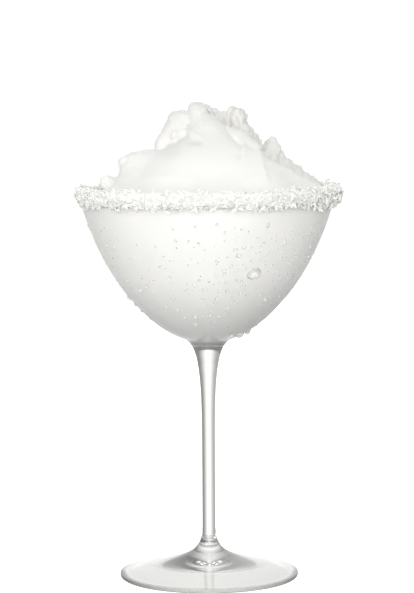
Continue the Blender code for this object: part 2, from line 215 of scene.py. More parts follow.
# The knob, the slab on its left, the right shoulder's ledge and the lumps down the left edge.
SIDE_LIMBS = (
    ((-0.0040, -0.004, 0.0354), 0.0046, (-0.0036, -0.004, 0.0310), 0.0052),
    ((-0.0060, -0.004, 0.0374), 0.0018, (-0.0030, -0.004, 0.0380), 0.0019),
    ((-0.0141, -0.004, 0.0332), 0.0028, (-0.0110, -0.004, 0.0334), 0.0028),
    ((-0.0137, -0.004, 0.0305), 0.0040, (-0.0188, -0.0030, 0.0214), 0.0046),
    ((-0.0092, -0.0042, 0.0310), 0.0030, (-0.0118, -0.0050, 0.0240), 0.0050),
    ((-0.0225, -0.004, 0.0155), 0.0040, (-0.0305, -0.003, 0.0115), 0.0055),
    ((0.0130, -0.006, 0.0200), 0.0078, (0.0190, -0.008, 0.0120), 0.0090),
    ((-0.0365, -0.003, 0.0128), 0.0036, (-0.0300, -0.003, 0.0115), 0.0058),
    ((-0.0454, -0.004, 0.0038), 0.0034, (-0.0400, -0.001, -0.0010), 0.0062),
)
# The rougher mass that shows behind the fold, in steps down to the right.
BACK_LIMBS = (
    ((0.0133, 0.009, 0.0323), 0.0052, (0.014, 0.012, 0.0050), 0.0190),
    ((0.0040, 0.008, 0.0310), 0.0050, (0.002, 0.010, 0.0100), 0.0140),
    ((0.0006, 0.003, 0.0357), 0.0026, (0.0056, 0.007, 0.0322), 0.0034),
    ((0.0303, 0.011, 0.0193), 0.0038, (0.028, 0.012, 0.0000), 0.0120),
    ((0.0365, 0.011, 0.0115), 0.0034, (0.036, 0.010, 0.0000), 0.0090),
    ((0.0413, 0.010, 0.0080), 0.0032, (0.041, 0.009, -0.0020), 0.0080),
    ((0.0450, 0.009, 0.0050), 0.0030, (0.045, 0.008, -0.0030), 0.0070),
    ((0.0483, 0.008, 0.0029), 0.0028, (0.048, 0.007, -0.0040), 0.0060),
    ((-0.014, 0.014, 0.0160), 0.0070, (-0.012, 0.024, -0.0060), 0.0200),
    ((0.008, 0.024, 0.0120), 0.0080, (0.014, 0.030, -0.0060), 0.0170),
    ((-0.008, 0.034, 0.0050), 0.0070, (-0.012, 0.038, -0.0060), 0.0110),
    ((0.030, 0.030, 0.0020), 0.0060, (0.024, 0.030, -0.0080), 0.0120),
    ((-0.034, 0.022, 0.0010), 0.0060, (-0.026, 0.022, -0.0080), 0.0130),
)
# Folds pressed into the front: corners (across, height above the lip), the groove's width
# and depth, and how far the ground lifts on its left and sinks on its right, as it runs,
# over a reach.
FOLDS = (
    (
        ((-0.0140, 0.0249), (-0.0145, 0.0220), (-0.0168, 0.0192), (-0.0197, 0.0190),
         (-0.0242, 0.0195)),
        0.0006, 0.0006, -0.0005, 0.0030,
    ),
    (((-0.0139, 0.0243), (-0.0094, 0.0260), (-0.0037, 0.0236)), 0.0006, 0.0006, 0.0009, 0.0020),
    (
        ((0.0101, 0.0268), (0.0124, 0.0235), (0.0158, 0.0203), (0.0153, 0.0158)),
        0.0005, 0.0006, 0.0006, 0.0025,
    ),
    (
        ((0.0244, 0.0183), (0.0269, 0.0123), (0.0273, 0.0092)),
        0.0008, 0.0005, -0.0009, 0.0030,
    ),
)
# Dents: centre (across, height above the lip), radii and depth.
DENTS = (
    ((-0.0065, 0.0230), (0.0036, 0.0022), 0.0014),
    ((0.0089, 0.0083), (0.0009, 0.0007), 0.00025),
    ((0.0074, 0.0089), (0.0006, 0.0006), 0.0002),
    ((0.0153, 0.0156), (0.0009, 0.0009), 0.0009),
    ((-0.0085, 0.0300), (0.0007, 0.0008), 0.0009),
)
# The smooth front ends at this line; crumbly ice goes on to the right of it.
CRUMBLE_EDGE = ((0.0244, 0.0183), (0.0269, 0.0123), (0.0272, 0.0089), (0.0255, 0.0000))
# How widely limbs melt together: the front body's, the slope's, the side's and the back's, and
# the front with the back, which keeps a crease.
BLEND_WITHIN = 0.0080
BLEND_SLOPE = 0.0080
BLEND_SIDE = 0.0016
BLEND_ROUGH = 0.0022
BLEND_BACK = 0.0008
# Relief of the heap, each as (height, size across): soft swells and ripples everywhere, then
# lumps and grains, where it is lumpy and where it is rough. It fades out at the wall, over a
# height above the contact and over a range inwards from the wall.
SWELL = (0.0004, 0.015)
RIPPLE = (0.00005, 0.0050)
LUMP = (0.0018, 0.0038)
GRAIN = (0.0008, 0.0015)
LEAST_ROUGH = 0.02
NORMAL_STEP = 0.0002
LOOSE_ABOVE = 0.002
LOOSE_INWARDS = (0.0005, 0.0040)
# How rough and how lumpy each zone is.
ZONES = {
    "behind": (1.0, 1.0),
    "crumbled": (0.8, 0.0),
    "turned_away": (0.5, 0.5),
    "crown": (0.35, 0.15),
    "left": (0.35, 0.2),
}
# How far the ground right of the crumbling edge lies lower, and the range of heights above the
# lip over which that grows from nothing.
CRUMBLE_STEP = 0.0006
CRUMBLE_STEP_HEIGHTS = (0.002, 0.009)
# Painted shade on the heap, as a share of grey in the slush's colour: at the lip and more at the
# top, on the slab, and at least so much behind and where it turns away.
PAINTED_SHADE_LOW = 0.19
PAINTED_SHADE_HIGHER = 0.52
PAINTED_SHADE_SLAB = 0.13
PAINTED_SHADE_BEHIND = 0.66
PAINTED_SHADE_TURNED_AWAY = 0.45

# Camera, from the fit of the lip's and the foot's ellipses.
CAMERA_DISTANCE = 1.017
CAMERA_HEIGHT = 0.2156
CAMERA_SIDE = -0.0003
CAMERA_TILT = 0.08436
CAMERA_LENS = 135.0
CAMERA_ROLL = math.radians(-0.33)

# Painted shade darkens the glass's colour to these shares over the foot, at the foot's edge and at
# the bowl's bottom. It turns clear to rays past so many bounces.
FOOT_SHADE = 0.70
EDGE_SHADE = 0.46
BOTTOM_SHADE = 0.70
MOST_BOUNCES = (("Ray Depth", 7.5), ("Glossy Depth", 3.5))

# Studio light: lobes (towards, power, strength) that light the drink. What glass shows and
# mirrors instead is a bright screen behind it, dim sides that are brighter on the left, the
# room in front, as bright as the screen, and two shining lobes.
LIGHT_COLOUR = (1.0, 0.998, 0.985, 1.0)
LIGHT_LOBES = (
    ((0.0, -0.985, 0.174), 4.0, 2.62),
    ((0.0, -0.906, -0.423), 4.0, 0.28),
    ((-0.754, -0.633, 0.174), 4.0, 0.28),
    ((-0.970, 0.171, 0.174), 4.0, 0.78),
    ((-0.694, -0.583, -0.423), 4.0, 0.36),
    ((0.970, 0.171, 0.174), 4.0, 0.86),
    ((0.754, -0.633, 0.174), 4.0, 0.17),
    ((0.0, 0.707, 0.707), 4.0, 1.50),
    ((0.0, 0.985, 0.174), 4.0, 0.60),
    ((0.696, 0.123, 0.707), 4.0, 0.24),
    ((-0.696, 0.123, 0.707), 4.0, 0.06),
)
# The world as the camera sees it, and the floor.
CAMERA_WHITE = 1.05
FLOOR_RADIUS = 1.5
FLOOR_GAP = 0.0001
SCREEN_LIGHT = 0.82
SCREEN_POWER = 12.0
SIDE_LIGHT = 0.31
SIDE_TILT = 0.13
SHINE_LOBES = (
    ((-0.50, -0.62, 0.60), 60.0, 4.0),
    ((0.45, -0.75, 0.48), 80.0, 3.0),
)


# ---------------------------------------- meshes


def make_object(name, points, faces, material, smooth_angle=40):
    """A mesh object with smooth faces, apart from edges over smooth_angle degrees."""
    mesh = bpy.data.meshes.new(name)
    mesh.from_pydata([tuple(point) for point in points], [], faces)
    mesh.materials.append(material)
    mesh.shade_smooth()
    mesh.set_sharp_from_angle(angle=math.radians(smooth_angle))
    piece = bpy.data.objects.new(name, mesh)
    bpy.context.scene.collection.objects.link(piece)
    return piece


def mark(piece, name, values):
    """A number for each of a mesh's points, for its material to read."""
    piece.data.attributes.new(name, "FLOAT", "POINT").data.foreach_set("value", values)


def skin(rings, segments, closed):
    """Faces between neighbouring rings of point numbers; a pole's faces are triangles."""
    faces = []
    pairs = list(zip(rings, rings[1:]))
    if closed:
        pairs.append((rings[-1], rings[0]))
    for lower, upper in pairs:
        for step in range(segments):
            after = (step + 1) % segments
            corners = (lower[step], lower[after], upper[after], upper[step])
            faces.append(tuple(dict.fromkeys(corners)))
    return faces


def revolve(outline, segments, closed):
    """Points and faces of an outline turned about Z: open from axis to axis, or a ring."""
    points = []
    rings = []
    for radius, height in outline:
        if radius < 1e-9:
            rings.append([len(points)] * segments)
            points.append((0.0, 0.0, height))
            continue
        rings.append([len(points) + step for step in range(segments)])
        for step in range(segments):
            turn = 2 * math.pi * step / segments
            points.append((radius * math.cos(turn), radius * math.sin(turn), height))
    return points, skin(rings, segments, closed)


def bezier(start, handle_a, handle_b, end, steps):
    """Points (radius, height) along a cubic curve, both ends included."""
    knots = [Vector((*knot, 0.0)) for knot in (start, handle_a, handle_b, end)]
    return [(point.x, point.y) for point in interpolate_bezier(*knots, steps + 1)]


def radius_at(outline, height):
    """An outline's radius at a height, between its points."""
    radii, heights = zip(*outline)
    return float(np.interp(height, heights, radii))


def smooth_step(low, high, value):
    """0 below low, 1 above high, smooth between."""
    part = np.clip((value - low) / (high - low), 0.0, 1.0)
    return part * part * (3 - 2 * part)


# ---------------------------------------- glass


def bowl_inside(steps):
    """The bowl's inner wall, from its lowest point on the axis up to the lip."""
    inwards, down = INSIDE_HANDLE
    return bezier(
        (0.0, INNER_BOTTOM),
        (BOTTOM_REACH, INNER_BOTTOM),
        (RIM_RADIUS - inwards, LIP - down),
        (RIM_RADIUS - WALL, LIP - WALL / 2),
        steps,
    )


def bowl_foot():
    """Where the bowl leaves the neck, and the wall's direction there."""
    place = Vector((BOWL_FOOT_RADIUS, BOWL_FOOT_HEIGHT))
    return place, Vector((math.cos(BOWL_FOOT_SLOPE), math.sin(BOWL_FOOT_SLOPE)))


def bowl_outside(steps):
    """The bowl's outer wall, from where it leaves the neck up to the lip."""
    start, slope = bowl_foot()
    inwards, down = OUTSIDE_HANDLE
    return bezier(
        start,
        start + BOWL_REACH * slope,
        (RIM_RADIUS - inwards, LIP - down),
        (RIM_RADIUS, LIP - WALL / 2),
        steps,
    )


def wall_slope(outside, height):
    """The outer wall's radius at a height, and its upward direction (outwards, up) there."""
    radius = radius_at(outside, height)
    below = radius_at(outside, height - SLOPE_STEP)
    return radius, Vector((radius - below, SLOPE_STEP)).normalized()


def round_lip(turns):
    """Points and outward normals round the lip, from 0 on its outside to pi on its inside."""
    centre = Vector((RIM_RADIUS - WALL / 2, LIP - WALL / 2))
    normals = [Vector((math.cos(turn), math.sin(turn))) for turn in turns]
    return [(centre + WALL / 2 * normal, normal) for normal in normals]


def glass_outline():
    """The whole closed section: underside, foot, stem, outer wall, lip and inner wall."""
    neck_top, slope = bowl_foot()
    underside = bezier(
        (0.0, UNDERSIDE_RISE),
        (UNDERSIDE_CROWN, UNDERSIDE_RISE),
        UNDERSIDE_SHOULDER,
        (CONTACT_INNER, 0.0),
        28,
    )
    edge = bezier((CONTACT_OUTER, 0.0), (FOOT_RADIUS, 0.0), FOOT_EDGE_BULGE, FOOT_EDGE_TOP, 6)
    foot = bezier(
        FOOT_EDGE_TOP,
        (FOOT_RADIUS - FOOT_SLOPE_RUN, FOOT_EDGE + FOOT_SLOPE_RISE),
        (STEM_RADIUS, STEM_BOTTOM - STEM_REACH_DOWN),
        (STEM_RADIUS, STEM_BOTTOM),
        36,
    )
    neck = bezier(
        (STEM_RADIUS, STEM_TOP),
        (STEM_RADIUS, STEM_TOP + STEM_REACH_UP),
        neck_top - NECK_REACH * slope,
        neck_top,
        30,
    )
    lip = [place for place, _ in round_lip(np.linspace(0, math.pi, 9)[1:-1])]
    inside = bowl_inside(36)[::-1]
    return underside + edge + foot[1:] + neck + bowl_outside(40)[1:] + lip + inside


def make_glass():
    """The glass as one fine turned mesh."""
    points, faces = revolve(glass_outline(), GLASS_SEGMENTS, closed=False)
    return make_object("glass_body", points, faces, glass_material())


# ---------------------------------------- slush


def limb_distance(points, limb):
    """Signed distance, nearly, from points to one limb above the lip."""
    start, start_radius, end, end_radius = limb
    start = np.array(start) + (0.0, 0.0, LIP)
    run = np.array(end) + (0.0, 0.0, LIP) - start
    offset = points - start
    along = np.clip(offset @ run / (run @ run), 0.0, 1.0)
    reach = np.linalg.norm(offset - along[:, None] * run, axis=1)
    return reach - start_radius - along * (end_radius - start_radius)


def blend(first, second, width):
    """Smooth union of two distances; a small width leaves a crease between them."""
    near = np.maximum(width - np.abs(first - second), 0.0) / width
    return np.minimum(first, second) - near * near * width / 4


def add_limbs(start, points, limbs, width):
    """The distance so far, with a group of limbs melted into it over a width."""
    distance = start
    for limb in limbs:
        distance = blend(distance, limb_distance(points, limb), width)
    return distance


def heap_distance(points):
    """Distance to the slush above the wall contact, and how far the back mass is ahead."""
    level = points[:, 2] - WALL_CONTACT
    front = add_limbs(level, points, FRONT_LIMBS, BLEND_WITHIN)
    front = add_limbs(front, points, SLOPE_LIMBS, BLEND_SLOPE)
    front = add_limbs(front, points, SIDE_LIMBS, BLEND_SIDE)
    back = add_limbs(level, points, BACK_LIMBS, BLEND_ROUGH)
    heap = blend(front, back, BLEND_BACK)
    across = np.hypot(points[:, 0], points[:, 1]) - (RIM_RADIUS - WALL)
    return np.maximum(heap, across), front - back


def cast_heap(directions):
    """The outermost heap point along each direction, and how far the back mass is ahead."""
    centre = np.array(HEAP_CENTRE)
    reach = np.full(len(directions), MARCH_FROM)
    lead = np.zeros(len(directions))
    active = np.arange(len(directions))
    for _ in range(MARCH_STEPS):
        distance, lead[active] = heap_distance(
            centre + directions[active] * reach[active, None]
        )
        nearer = reach[active] - MARCH_SHARE * distance
        reach[active] = np.clip(nearer, MARCH_NEAREST, MARCH_FROM)
        active = active[np.abs(distance) > MARCH_ERROR]
        if not len(active):
            break
    return centre + directions * reach[:, None], lead


def heap_directions(lowest):
    """Directions to the heap's rings, which lie closer where its side is steep."""
    count = 2 * HEAP_RINGS
    rises = np.linspace(lowest, math.pi / 2, count)
    heap, _ = cast_heap(ring_directions(np.repeat(rises[:, None], SLUSH_SEGMENTS, axis=1)))
    heap = heap.reshape(count, SLUSH_SEGMENTS, 3)
    steps = np.linalg.norm(np.diff(heap, axis=0), axis=2)
    window = np.exp(-np.linspace(-2, 2, 2 * EVEN_OVER + 1) ** 2)
    shares = zip(range(-EVEN_OVER, EVEN_OVER + 1), window / window.sum())
    steps = sum(share * np.roll(steps, shift, axis=1) for shift, share in shares)
    along = np.vstack((np.zeros(SLUSH_SEGMENTS), np.cumsum(steps, axis=0)))
    wanted = np.arange(1, HEAP_RINGS) / HEAP_RINGS
    rings = [np.interp(wanted, column / column[-1], rises) for column in along.T]
    return ring_directions(np.stack(rings, axis=1))


def ring_directions(rises):
    """Directions from the heap's centre: a ring for each row of rises, a turn for each column."""
    turns = 2 * math.pi * np.arange(SLUSH_SEGMENTS) / SLUSH_SEGMENTS
    level = np.cos(rises)
    ways = (level * np.cos(turns), level * np.sin(turns), np.sin(rises))
    return np.stack([way.ravel() for way in ways], axis=1)


def make_slush():
    """The frozen drink, from the bowl's bottom to the knob."""
    wall = [
        (radius + (INTO_WALL if radius > NEAR_AXIS else 0.0), height - INTO_BOTTOM)
        for radius, height in bowl_inside(26)
        if height < WALL_CONTACT - CONTACT_RING_GAP
    ]
    wall.append((radius_at(bowl_inside(60), WALL_CONTACT) + INTO_WALL, WALL_CONTACT))
    points, _ = revolve(wall, SLUSH_SEGMENTS, closed=False)

    contact_radius, contact_height = wall[-1]
    lowest = math.atan2(contact_height - HEAP_CENTRE.z, contact_radius)
    heap, lead = cast_heap(np.vstack((heap_directions(lowest), (0.0, 0.0, 1.0))))
    heap, rough, painted_shade = relief(ease_columns(heap, lead), lead)

    rings = [[0] * SLUSH_SEGMENTS]
    ring_starts = range(1, len(points) + len(heap) - 1, SLUSH_SEGMENTS)
    rings += [[start + step for step in range(SLUSH_SEGMENTS)] for start in ring_starts]
    points += [tuple(point) for point in heap]
    rings.append([len(points) - 1] * SLUSH_SEGMENTS)
    faces = skin(rings, SLUSH_SEGMENTS, closed=False)
    piece = make_object("slush", points, faces, slush_material(), smooth_angle=180)
    in_bowl = [0.0] * (len(points) - len(painted_shade))
    # The heap's painted shade and its roughness, none in the bowl, for the material to read.
    mark(piece, "painted_shade", in_bowl + list(painted_shade))
    mark(piece, "rough", in_bowl + list(rough))
    return piece


def ease_columns(heap, lead):
    """Even out the jumps between neighbouring columns of the back mass, before its relief."""
    rings = heap[:-1].reshape(-1, SLUSH_SEGMENTS, 3)
    share = smooth_step(*BEHIND_LEAD, lead[:-1]).reshape(-1, SLUSH_SEGMENTS, 1)
    for _ in range(EASE_ROUNDS):
        beside = (np.roll(rings, 1, axis=1) + np.roll(rings, -1, axis=1)) / 2
        rings = rings + EASE_SHARE * share * (beside - rings)
    return np.vstack((rings.reshape(-1, 3), heap[-1:]))


def line_distance(points, line):
    """Distance from points to a line of (across, height) corners, and 1 or -1 for its side."""
    nearest = np.full(len(points), np.inf)
    side = np.ones(len(points))
    for start, end in zip(line, line[1:]):
        run = np.array(end) - start
        offset = points - start
        along = np.clip(offset @ run / (run @ run), 0.0, 1.0)
        reach = np.linalg.norm(offset - along[:, None] * run, axis=1)
        turn = run[0] * offset[:, 1] - run[1] * offset[:, 0]
        closer = reach < nearest
        nearest = np.where(closer, reach, nearest)
        side = np.where(closer, np.where(turn > 0, 1.0, -1.0), side)
    return nearest, side


def in_front(heap):
    """1 on the heap's front, fading to 0 just behind its middle."""
    return smooth_step(0.004, -0.002, heap[:, 1])


def folds(heap):
    """Shift of each heap point by the folds and dents pressed into the front."""
    nearer = CAMERA_DISTANCE / (CAMERA_DISTANCE + heap[:, 1])
    height = CAMERA_HEIGHT + (heap[:, 2] - CAMERA_HEIGHT) * nearer
    seen = np.stack((heap[:, 0] * nearer, height - LIP), axis=1)
    shift = np.zeros(len(heap))
    for line, width, depth, lift, reach in FOLDS:
        distance, side = line_distance(seen, line)
        shift -= depth * np.exp(-((distance / width) ** 2))
        edge = np.tanh(side * distance / width)
        shift += lift * edge * np.exp(-((distance / reach) ** 2))
    for centre, radii, depth in DENTS:
        offset = (seen - centre) / radii
        shift -= depth * np.exp(-(offset**2).sum(axis=1))
    return shift * in_front(heap)


def zone_shares(heap, lead):
    """How much each heap point belongs to each of the zones."""
    height = heap[:, 2] - LIP
    outward = heap - np.array(HEAP_CENTRE)
    outward /= np.linalg.norm(outward, axis=1)[:, None]
    beyond, side = line_distance(np.stack((heap[:, 0], height), axis=1), CRUMBLE_EDGE)
    return {
        "behind": smooth_step(*BEHIND_LEAD, lead),
        "crumbled": smooth_step(0.0, 0.002, side * beyond) * in_front(heap),
        "turned_away": smooth_step(-0.22, 0.0, outward[:, 1]),
        "crown": smooth_step(0.022, 0.034, height),
        "left": smooth_step(-0.022, -0.032, heap[:, 0]),
    }


def paint_heap_shade(heap, zones):
    """Painted shade at each heap point: more at the top, on the slab, behind and turned away."""
    height = heap[:, 2] - LIP
    painted_shade = PAINTED_SHADE_LOW + PAINTED_SHADE_HIGHER * smooth_step(0.012, 0.040, height)
    slab = smooth_step(-0.009, -0.015, heap[:, 0]) * smooth_step(0.013, 0.018, height)
    return np.maximum.reduce((
        painted_shade + PAINTED_SHADE_SLAB * slab,
        PAINTED_SHADE_BEHIND * zones["behind"],
        PAINTED_SHADE_TURNED_AWAY * zones["turned_away"],
    ))


def relief(heap, lead):
    """Push the heap in and out: folds and soft swells in front, crumbs of ice elsewhere; with
    roughness and painted shade.
    """
    inside = RIM_RADIUS - WALL - np.hypot(heap[:, 0], heap[:, 1])
    loose = np.maximum(
        smooth_step(WALL_CONTACT, WALL_CONTACT + LOOSE_ABOVE, heap[:, 2]),
        smooth_step(*LOOSE_INWARDS, inside),
    )
    zones = zone_shares(heap, lead)
    rough = np.maximum.reduce([ZONES[zone][0] * share for zone, share in zones.items()])
    lumpy = sum(ZONES[zone][1] * share for zone, share in zones.items())
    lower = CRUMBLE_STEP * smooth_step(*CRUMBLE_STEP_HEIGHTS, heap[:, 2] - LIP)
    shift = folds(heap) - lower * zones["crumbled"]
    crumbs = ((*LUMP, lumpy), (*GRAIN, rough + LEAST_ROUGH))
    for number, place in enumerate(heap):
        spot = Vector(place)
        for height, size in (SWELL, RIPPLE):
            shift[number] += height * noise.noise(spot / size)
        for height, size, share in crumbs:
            shift[number] += height * share[number] * granule(spot, size)
    moved = heap + (shift * loose)[:, None] * heap_normals(heap)
    return moved, rough, paint_heap_shade(heap, zones) * loose


def heap_normals(heap):
    """Directions straight out of the heap at points on it."""
    slopes = [
        heap_distance(heap + step)[0] - heap_distance(heap - step)[0]
        for step in np.eye(3) * NORMAL_STEP
    ]
    normals = np.stack(slopes, axis=1)
    return normals / np.linalg.norm(normals, axis=1)[:, None]


def granule(spot, size):
    """Height of grains about a size across, with creases between them, from -0.4 to 0.5."""
    return 0.5 - noise.voronoi(spot / size)[0][0]


# ---------------------------------------- coconut


def crust_path(steps):
    """Points, outward normals and drops along the crust, from its lower edge over the lip."""
    outside = bowl_outside(WALL_STEPS)
    path = []
    for drop in np.linspace(CRUST_DROP, CRUST_TOP, steps):
        radius, slope = wall_slope(outside, LIP - drop)
        path.append((Vector((radius, LIP - drop)), Vector((slope.y, -slope.x)), drop))
    turns = np.linspace(0.15, 0.9, steps // 3) * math.pi
    return path + [(place, normal, 0.0) for place, normal in round_lip(turns)]


def make_bed():
    """The crumbly bed under the shreds, hooked over the lip, with a ragged lower edge."""
    path = crust_path(14)
    points = []
    rings = []
    for layer in (1, 0):
        for index, (place, normal, drop) in enumerate(path if layer else path[::-1]):
            rings.append([len(points) + step for step in range(BED_SEGMENTS)])
            for step in range(BED_SEGMENTS):
                turn = 2 * math.pi * step / BED_SEGMENTS
                radial = Vector((math.cos(turn), math.sin(turn), 0.0))
                base = radial * place.x + Vector((0, 0, place.y))
                out = radial * normal.x + Vector((0, 0, normal.y))
                level = Vector((base.x, base.y, 0.0))
                edge = CRUST_DROP - BED_MARGIN + BED_RAGGED * noise.noise(level / BED_RAGGED_SIZE)
                fringe = smooth_step(0.0, BED_FRINGE, edge - drop)
                bump = sum(share * noise.noise(base / size) for share, size in BED_BUMPS)
                thickness = layer * BED_THICKNESS * float(fringe) * (1 + bump)
                if index == len(path) - 1:
                    thickness *= BED_INNER_END
                points.append(base + (thickness + BED_CLEARANCE) * out)
    faces = skin(rings, BED_SEGMENTS, closed=True)
    return make_object("coconut_bed", points, faces, coconut_material(), smooth_angle=60)


def shred_corners(centre, along, across, normal, sizes, draw):
    """Corners of one curved, tapered strip of coconut."""
    length, width, thickness, bend = sizes
    corners = []
    skew = draw.uniform(-SHRED_SKEW, SHRED_SKEW)
    for station in SHRED_STATIONS:
        ease = 1 - 4 * station * station
        middle = centre + station * length * along
        middle += ease * bend * normal + ease * skew * bend * across
        taper = 1 - SHRED_WIDENING * (1 - ease)
        wide = width / 2 * taper * draw.uniform(*SHRED_WIDTH_SPREAD)
        thick = thickness / 2 * (1 - SHRED_THICKENING * (1 - ease))
        for side, face in ((-1, -1), (1, -1), (1, 1), (-1, 1)):
            corners.append(middle + side * wide * across + face * thick * normal)
    return corners


def shred_faces(first):
    """Faces of one strip whose corners start at number first, wound to point out."""
    last = first + 4 * (len(SHRED_STATIONS) - 1)
    faces = [(first, first + 1, first + 2, first + 3), (last + 3, last + 2, last + 1, last)]
    for low in range(first, last, 4):
        for side in range(4):
            after = (side + 1) % 4
            faces.append((low + side, low + 4 + side, low + 4 + after, low + after))
    return faces


def lay_shred(draw, path, outside):
    """Corners of one shred, laid at random on the bed or over the lip, clear of the wall."""
    turn = draw.uniform(0, 2 * math.pi)
    right = max(0.0, math.cos(turn)) ** 3
    place, normal, drop = draw.choice(path)
    stray = draw.random() <= STRAY_SHARE + RIGHT_STRAYS * right
    radial = Vector((math.cos(turn), math.sin(turn), 0.0))
    around = Vector((-math.sin(turn), math.cos(turn), 0.0))
    out = (radial * normal.x + Vector((0, 0, normal.y))).normalized()
    up = out.cross(around)

    least, most, commonest = SHRED_LENGTH
    length = draw.triangular(least, most + RIGHT_LONGER * right, commonest)
    width = draw.uniform(*SHRED_WIDTH) + RIGHT_WIDER * right
    thickness = draw.uniform(*SHRED_THICKNESS)
    spin = draw.uniform(0, math.pi)
    tilt = draw.uniform(-STRAY_TILT, STRAY_TILT) if stray else draw.gauss(0, SHRED_TILT)
    flat = math.cos(spin) * around + math.sin(spin) * up
    along = (math.cos(tilt) * flat + math.sin(tilt) * out).normalized()
    face_normal = (math.cos(tilt) * out - math.sin(tilt) * flat).normalized()
    across = face_normal.cross(along).normalized()
    roll = draw.gauss(0, SHRED_ROLL)
    across, face_normal = (
        math.cos(roll) * across + math.sin(roll) * face_normal,
        math.cos(roll) * face_normal - math.sin(roll) * across,
    )

    seat = smooth_step(0.0, SEAT_RUN, CRUST_DROP - SEAT_MARGIN - drop)
    lift = BED_THICKNESS * float(seat)
    lift += draw.uniform(SHRED_LIFT[0], SHRED_LIFT[1] + RIGHT_LIFTED * right)
    lift += STRAY_RAISE * length * abs(math.sin(tilt))
    slide = draw.gauss(0.0, SHRED_SLIDE)
    centre = radial * place.x + Vector((0, 0, place.y)) + lift * out + slide * up
    bend = draw.uniform(-SHRED_BEND, SHRED_BEND) * length
    sizes = (length, width, thickness, bend)
    corners = shred_corners(centre, along, across, face_normal, sizes, draw)
    if drop == 0.0:
        return corners
    depths = [
        radius_at(outside, corner.z) + BED_CLEARANCE - math.hypot(corner.x, corner.y)
        for corner in corners
        if corner.z < LIP
    ]
    sunk = max(depths, default=0.0)
    return [corner + max(sunk, 0.0) * radial for corner in corners]


def make_shreds():
    """All the shreds as one mesh, each with its own tone."""
    draw = random.Random(SEED)
    outside = bowl_outside(WALL_STEPS)
    path = crust_path(18)
    points = []
    faces = []
    tones = []
    for _ in range(SHREDS):
        corners = lay_shred(draw, path, outside)
        faces += shred_faces(len(points))
        points += corners
        tones += [draw.random()] * len(corners)
    piece = make_object("coconut_shreds", points, faces, coconut_material(), smooth_angle=35)
    mark(piece, "tone", tones)
    return piece


# ---------------------------------------- condensation


def dome(outside, drop, swell, mesh):
    """Points and faces of one drop on the bowl's outer wall, sunk a little into it."""
    turn, height, wide, tall = drop
    segments, layers = mesh
    radius, slope = wall_slope(outside, height)
    radial = Vector((math.sin(turn), -math.cos(turn), 0.0))
    around = Vector((math.cos(turn), math.sin(turn), 0.0))
    up = radial * slope.x + Vector((0.0, 0.0, slope.y))
    out = around.cross(up)
    centre = radial * radius + Vector((0.0, 0.0, height)) - DROP_SUNK * out
    points = []
    rings = []
    for layer in range(layers):
        rise = math.pi / 2 * layer / layers
        rings.append([len(points) + step for step in range(segments)])
        for step in range(segments):
            angle = 2 * math.pi * step / segments
            sag = 1.0 - DROP_SAG * math.sin(angle)
            hang = 1.0 - DROP_HANG * math.sin(angle) * math.cos(rise)
            across = wide / 2 * math.cos(rise) * math.cos(angle) * sag
            along = tall / 2 * math.cos(rise) * math.sin(angle)
            bulge = swell * math.sin(rise) ** 2 * hang
            place = centre + across * around + along * up + bulge * out
            flat = radius + (place.z - height) * slope.x / slope.y
            curve = radius_at(outside, place.z) - flat
            points.append(place + curve * (1.0 - math.sin(rise)) * radial)
    rings.append([len(points)] * segments)
    points.append(centre + swell * out)
    faces = skin(rings, segments, closed=False)
    faces.append(tuple(reversed(rings[0])))
    return points, faces


def place_drops(outside):
    """Turn, height, width and tallness of each drop: the large ones, then fine ones at random."""
    draw = random.Random(SEED + 1)
    drops = [
        (math.radians(turn), height / 1000, wide / 1000, tall / 1000)
        for turn, height, wide, tall in LARGE_DROPS
    ]
    least, above, most = FINE_DROP
    while len(drops) < DROPS:
        height = draw.triangular(*FINE_DROP_HEIGHTS)
        turn = draw.uniform(-math.pi, math.pi)
        radius = radius_at(outside, height)
        crowd = math.exp(-(((turn - CROWD_TURN) / CROWD_SPREAD) ** 2))
        crowd = CROWD_ELSEWHERE + (1.0 - CROWD_ELSEWHERE) * crowd
        if draw.random() > crowd * radius / RIM_RADIUS:
            continue
        size = min(least + draw.expovariate(1 / above), most)
        tall = size * draw.uniform(*FINE_DROP_SHAPE)
        near = [other for other in drops if abs(height - other[1]) < (tall + other[3]) / 2]
        clear = [
            abs(turn - other[0]) >= size / radius + other[2] / BOWL_ACROSS for other in near
        ]
        if all(clear):
            drops.append((turn, height, size, tall))
    return drops


def make_drops():
    """All the condensation as one mesh."""
    outside = bowl_outside(80)
    points = []
    faces = []
    for drop in place_drops(outside):
        _, _, wide, tall = drop
        size = min(wide, tall)
        swell = float(np.interp(size, DROP_SIZES, DROP_SWELLS)) * size + DROP_SUNK
        mesh = LARGE_DROP_MESH if wide > LARGE_DROP else FINE_DROP_MESH
        corners, sides = dome(outside, drop, swell, mesh)
        faces += [tuple(len(points) + corner for corner in side) for side in sides]
        points += corners
    return make_object("condensation", points, faces, water_material(), smooth_angle=180)


# ---------------------------------------- materials


